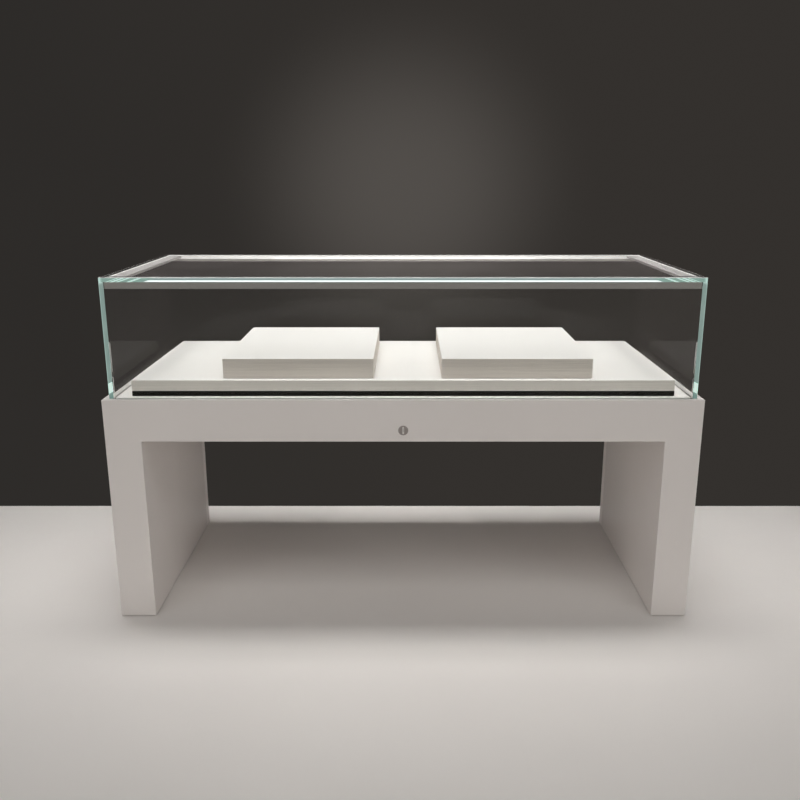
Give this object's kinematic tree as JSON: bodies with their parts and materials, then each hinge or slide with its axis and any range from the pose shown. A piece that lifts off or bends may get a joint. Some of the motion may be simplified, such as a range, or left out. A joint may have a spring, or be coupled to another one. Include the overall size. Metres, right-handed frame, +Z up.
{
  "type": "museum display case",
  "caption": "Table display case: glass hood on a white base with slab legs, lift-up hood on struts, lit deck with riser blocks",
  "frame": {"origin": "on the floor under the middle of the case", "axes": "+X along the case, the front with the lock faces -Y, +Z up"},
  "size_m": [1.6, 0.67, 0.958],
  "materials": {
    "white_coat": "satin powder coat over folded steel, welds dressed flush",
    "white_board": "satin lacquer over fibreboard",
    "black_board": "matt black paint over board",
    "tube_steel": "plain welded tube and plate, grey primer",
    "bright_steel": "zinc plated",
    "dark_metal": "dark nickel, black on the struts and feet",
    "clear_glass": "clear float glass with polished edges",
    "aluminium": "satin anodised",
    "opal": "opal diffuser",
    "led_board": "white circuit board",
    "clear_silicone": "clear silicone bead, which looks pale in the white rail",
    "black_rubber": "matt",
    "black_plastic": "moulded"
  },
  "bodies": {
    "base": {"leg_casing_left": "white_coat", "leg_casing_right": "white_coat", "front_apron": "white_coat", "rear_apron": "white_coat", "leg_cover_left": "white_coat", "leg_cover_right": "white_coat", "underside_panel": "white_coat", "led_driver": "white_coat", "top_panel": "white_board", "deck": "white_board", "riser_left": "white_board", "riser_right": "white_board", "plinth": "black_board", "leg_plates": "tube_steel", "leg_posts": "tube_steel", "long_rails": "tube_steel", "cross_rails": "tube_steel", "panel_screws": "bright_steel", "hinge_leaves_base": "bright_steel", "strut_brackets": "bright_steel", "hinge_pins": "dark_metal", "lock_barrel": "dark_metal", "hood_gasket": "black_rubber", "supply_leads": "black_rubber", "power_inlet": "black_plastic", "contact_block": "black_plastic"},
    "hood": {"glass_top": "clear_glass", "glass_front": "clear_glass", "glass_rear": "clear_glass", "glass_left": "clear_glass", "glass_right": "clear_glass", "hood_rail_front": "white_coat", "hood_rail_rear": "white_coat", "hood_rail_left": "white_coat", "hood_rail_right": "white_coat", "glazing_seal": "clear_silicone", "light_bar_front": "aluminium", "light_bar_rear": "aluminium", "light_diffuser_front": "opal", "light_diffuser_rear": "opal", "led_boards": "led_board", "side_strip_left": "aluminium", "side_strip_right": "aluminium", "hinge_leaves_hood": "bright_steel", "strut_arms": "bright_steel", "lock_strike": "bright_steel", "contact_pad": "bright_steel"},
    "strut_cylinder_left": {"strut_cylinder_left": "dark_metal"},
    "strut_cylinder_right": {"strut_cylinder_right": "dark_metal"},
    "strut_rod_left": {"strut_rod_left": "bright_steel"},
    "strut_rod_right": {"strut_rod_right": "bright_steel"},
    "lock": {"lock_plug": "dark_metal", "lock_cam": "bright_steel", "cam_screw": "bright_steel"},
    "rocker": {"power_rocker": "black_plastic"},
    "foot_front_left": {"foot_front_left": "dark_metal"},
    "foot_front_right": {"foot_front_right": "dark_metal"},
    "foot_rear_left": {"foot_rear_left": "dark_metal"},
    "foot_rear_right": {"foot_rear_right": "dark_metal"}
  },
  "joints": [
    {"name": "hood_hinge", "type": "hinge", "parent": "base", "child": "hood", "pos_m": [0, 0.329, 0.616], "axis": [-1, 0, 0], "range_deg": [0, 35]},
    {"name": "strut_swing_left", "type": "hinge", "parent": "base", "child": "strut_cylinder_left", "pos_m": [-0.782, 0.314, 0.43], "axis": [-1, 0, 0], "range_deg": [0, 14.5]},
    {"name": "strut_stroke_left", "type": "slide", "parent": "strut_cylinder_left", "child": "strut_rod_left", "axis": [0, -0.6496, 0.7603], "range_m": [0, 0.075]},
    {"name": "strut_swing_right", "type": "hinge", "parent": "base", "child": "strut_cylinder_right", "pos_m": [0.782, 0.314, 0.43], "axis": [-1, 0, 0], "range_deg": [0, 14.5]},
    {"name": "strut_stroke_right", "type": "slide", "parent": "strut_cylinder_right", "child": "strut_rod_right", "axis": [0, -0.6496, 0.7603], "range_m": [0, 0.075]},
    {"name": "lock_turn", "type": "hinge", "parent": "base", "child": "lock", "pos_m": [0, -0.335, 0.552], "axis": [0, 1, 0], "range_deg": [0, 90]},
    {"name": "rocker_tilt", "type": "hinge", "parent": "base", "child": "rocker", "pos_m": [0.517, 0.23, 0.523], "axis": [-1, 0, 0], "range_deg": [0, 14]},
    {"name": "foot_travel_front_left", "type": "slide", "parent": "base", "child": "foot_front_left", "axis": [0, 0, -1], "range_m": [0, 0.012]},
    {"name": "foot_travel_front_right", "type": "slide", "parent": "base", "child": "foot_front_right", "axis": [0, 0, -1], "range_m": [0, 0.012]},
    {"name": "foot_travel_rear_left", "type": "slide", "parent": "base", "child": "foot_rear_left", "axis": [0, 0, -1], "range_m": [0, 0.012]},
    {"name": "foot_travel_rear_right", "type": "slide", "parent": "base", "child": "foot_rear_right", "axis": [0, 0, -1], "range_m": [0, 0.012]}
  ],
  "couplings": [
    {"joint": "strut_swing_left", "follows": "hood_hinge", "ratio": 0.3976},
    {"joint": "strut_stroke_left", "follows": "hood_hinge", "m_per_rad": 0.11837},
    {"joint": "strut_swing_right", "follows": "hood_hinge", "ratio": 0.3976},
    {"joint": "strut_stroke_right", "follows": "hood_hinge", "m_per_rad": 0.11837}
  ]
}
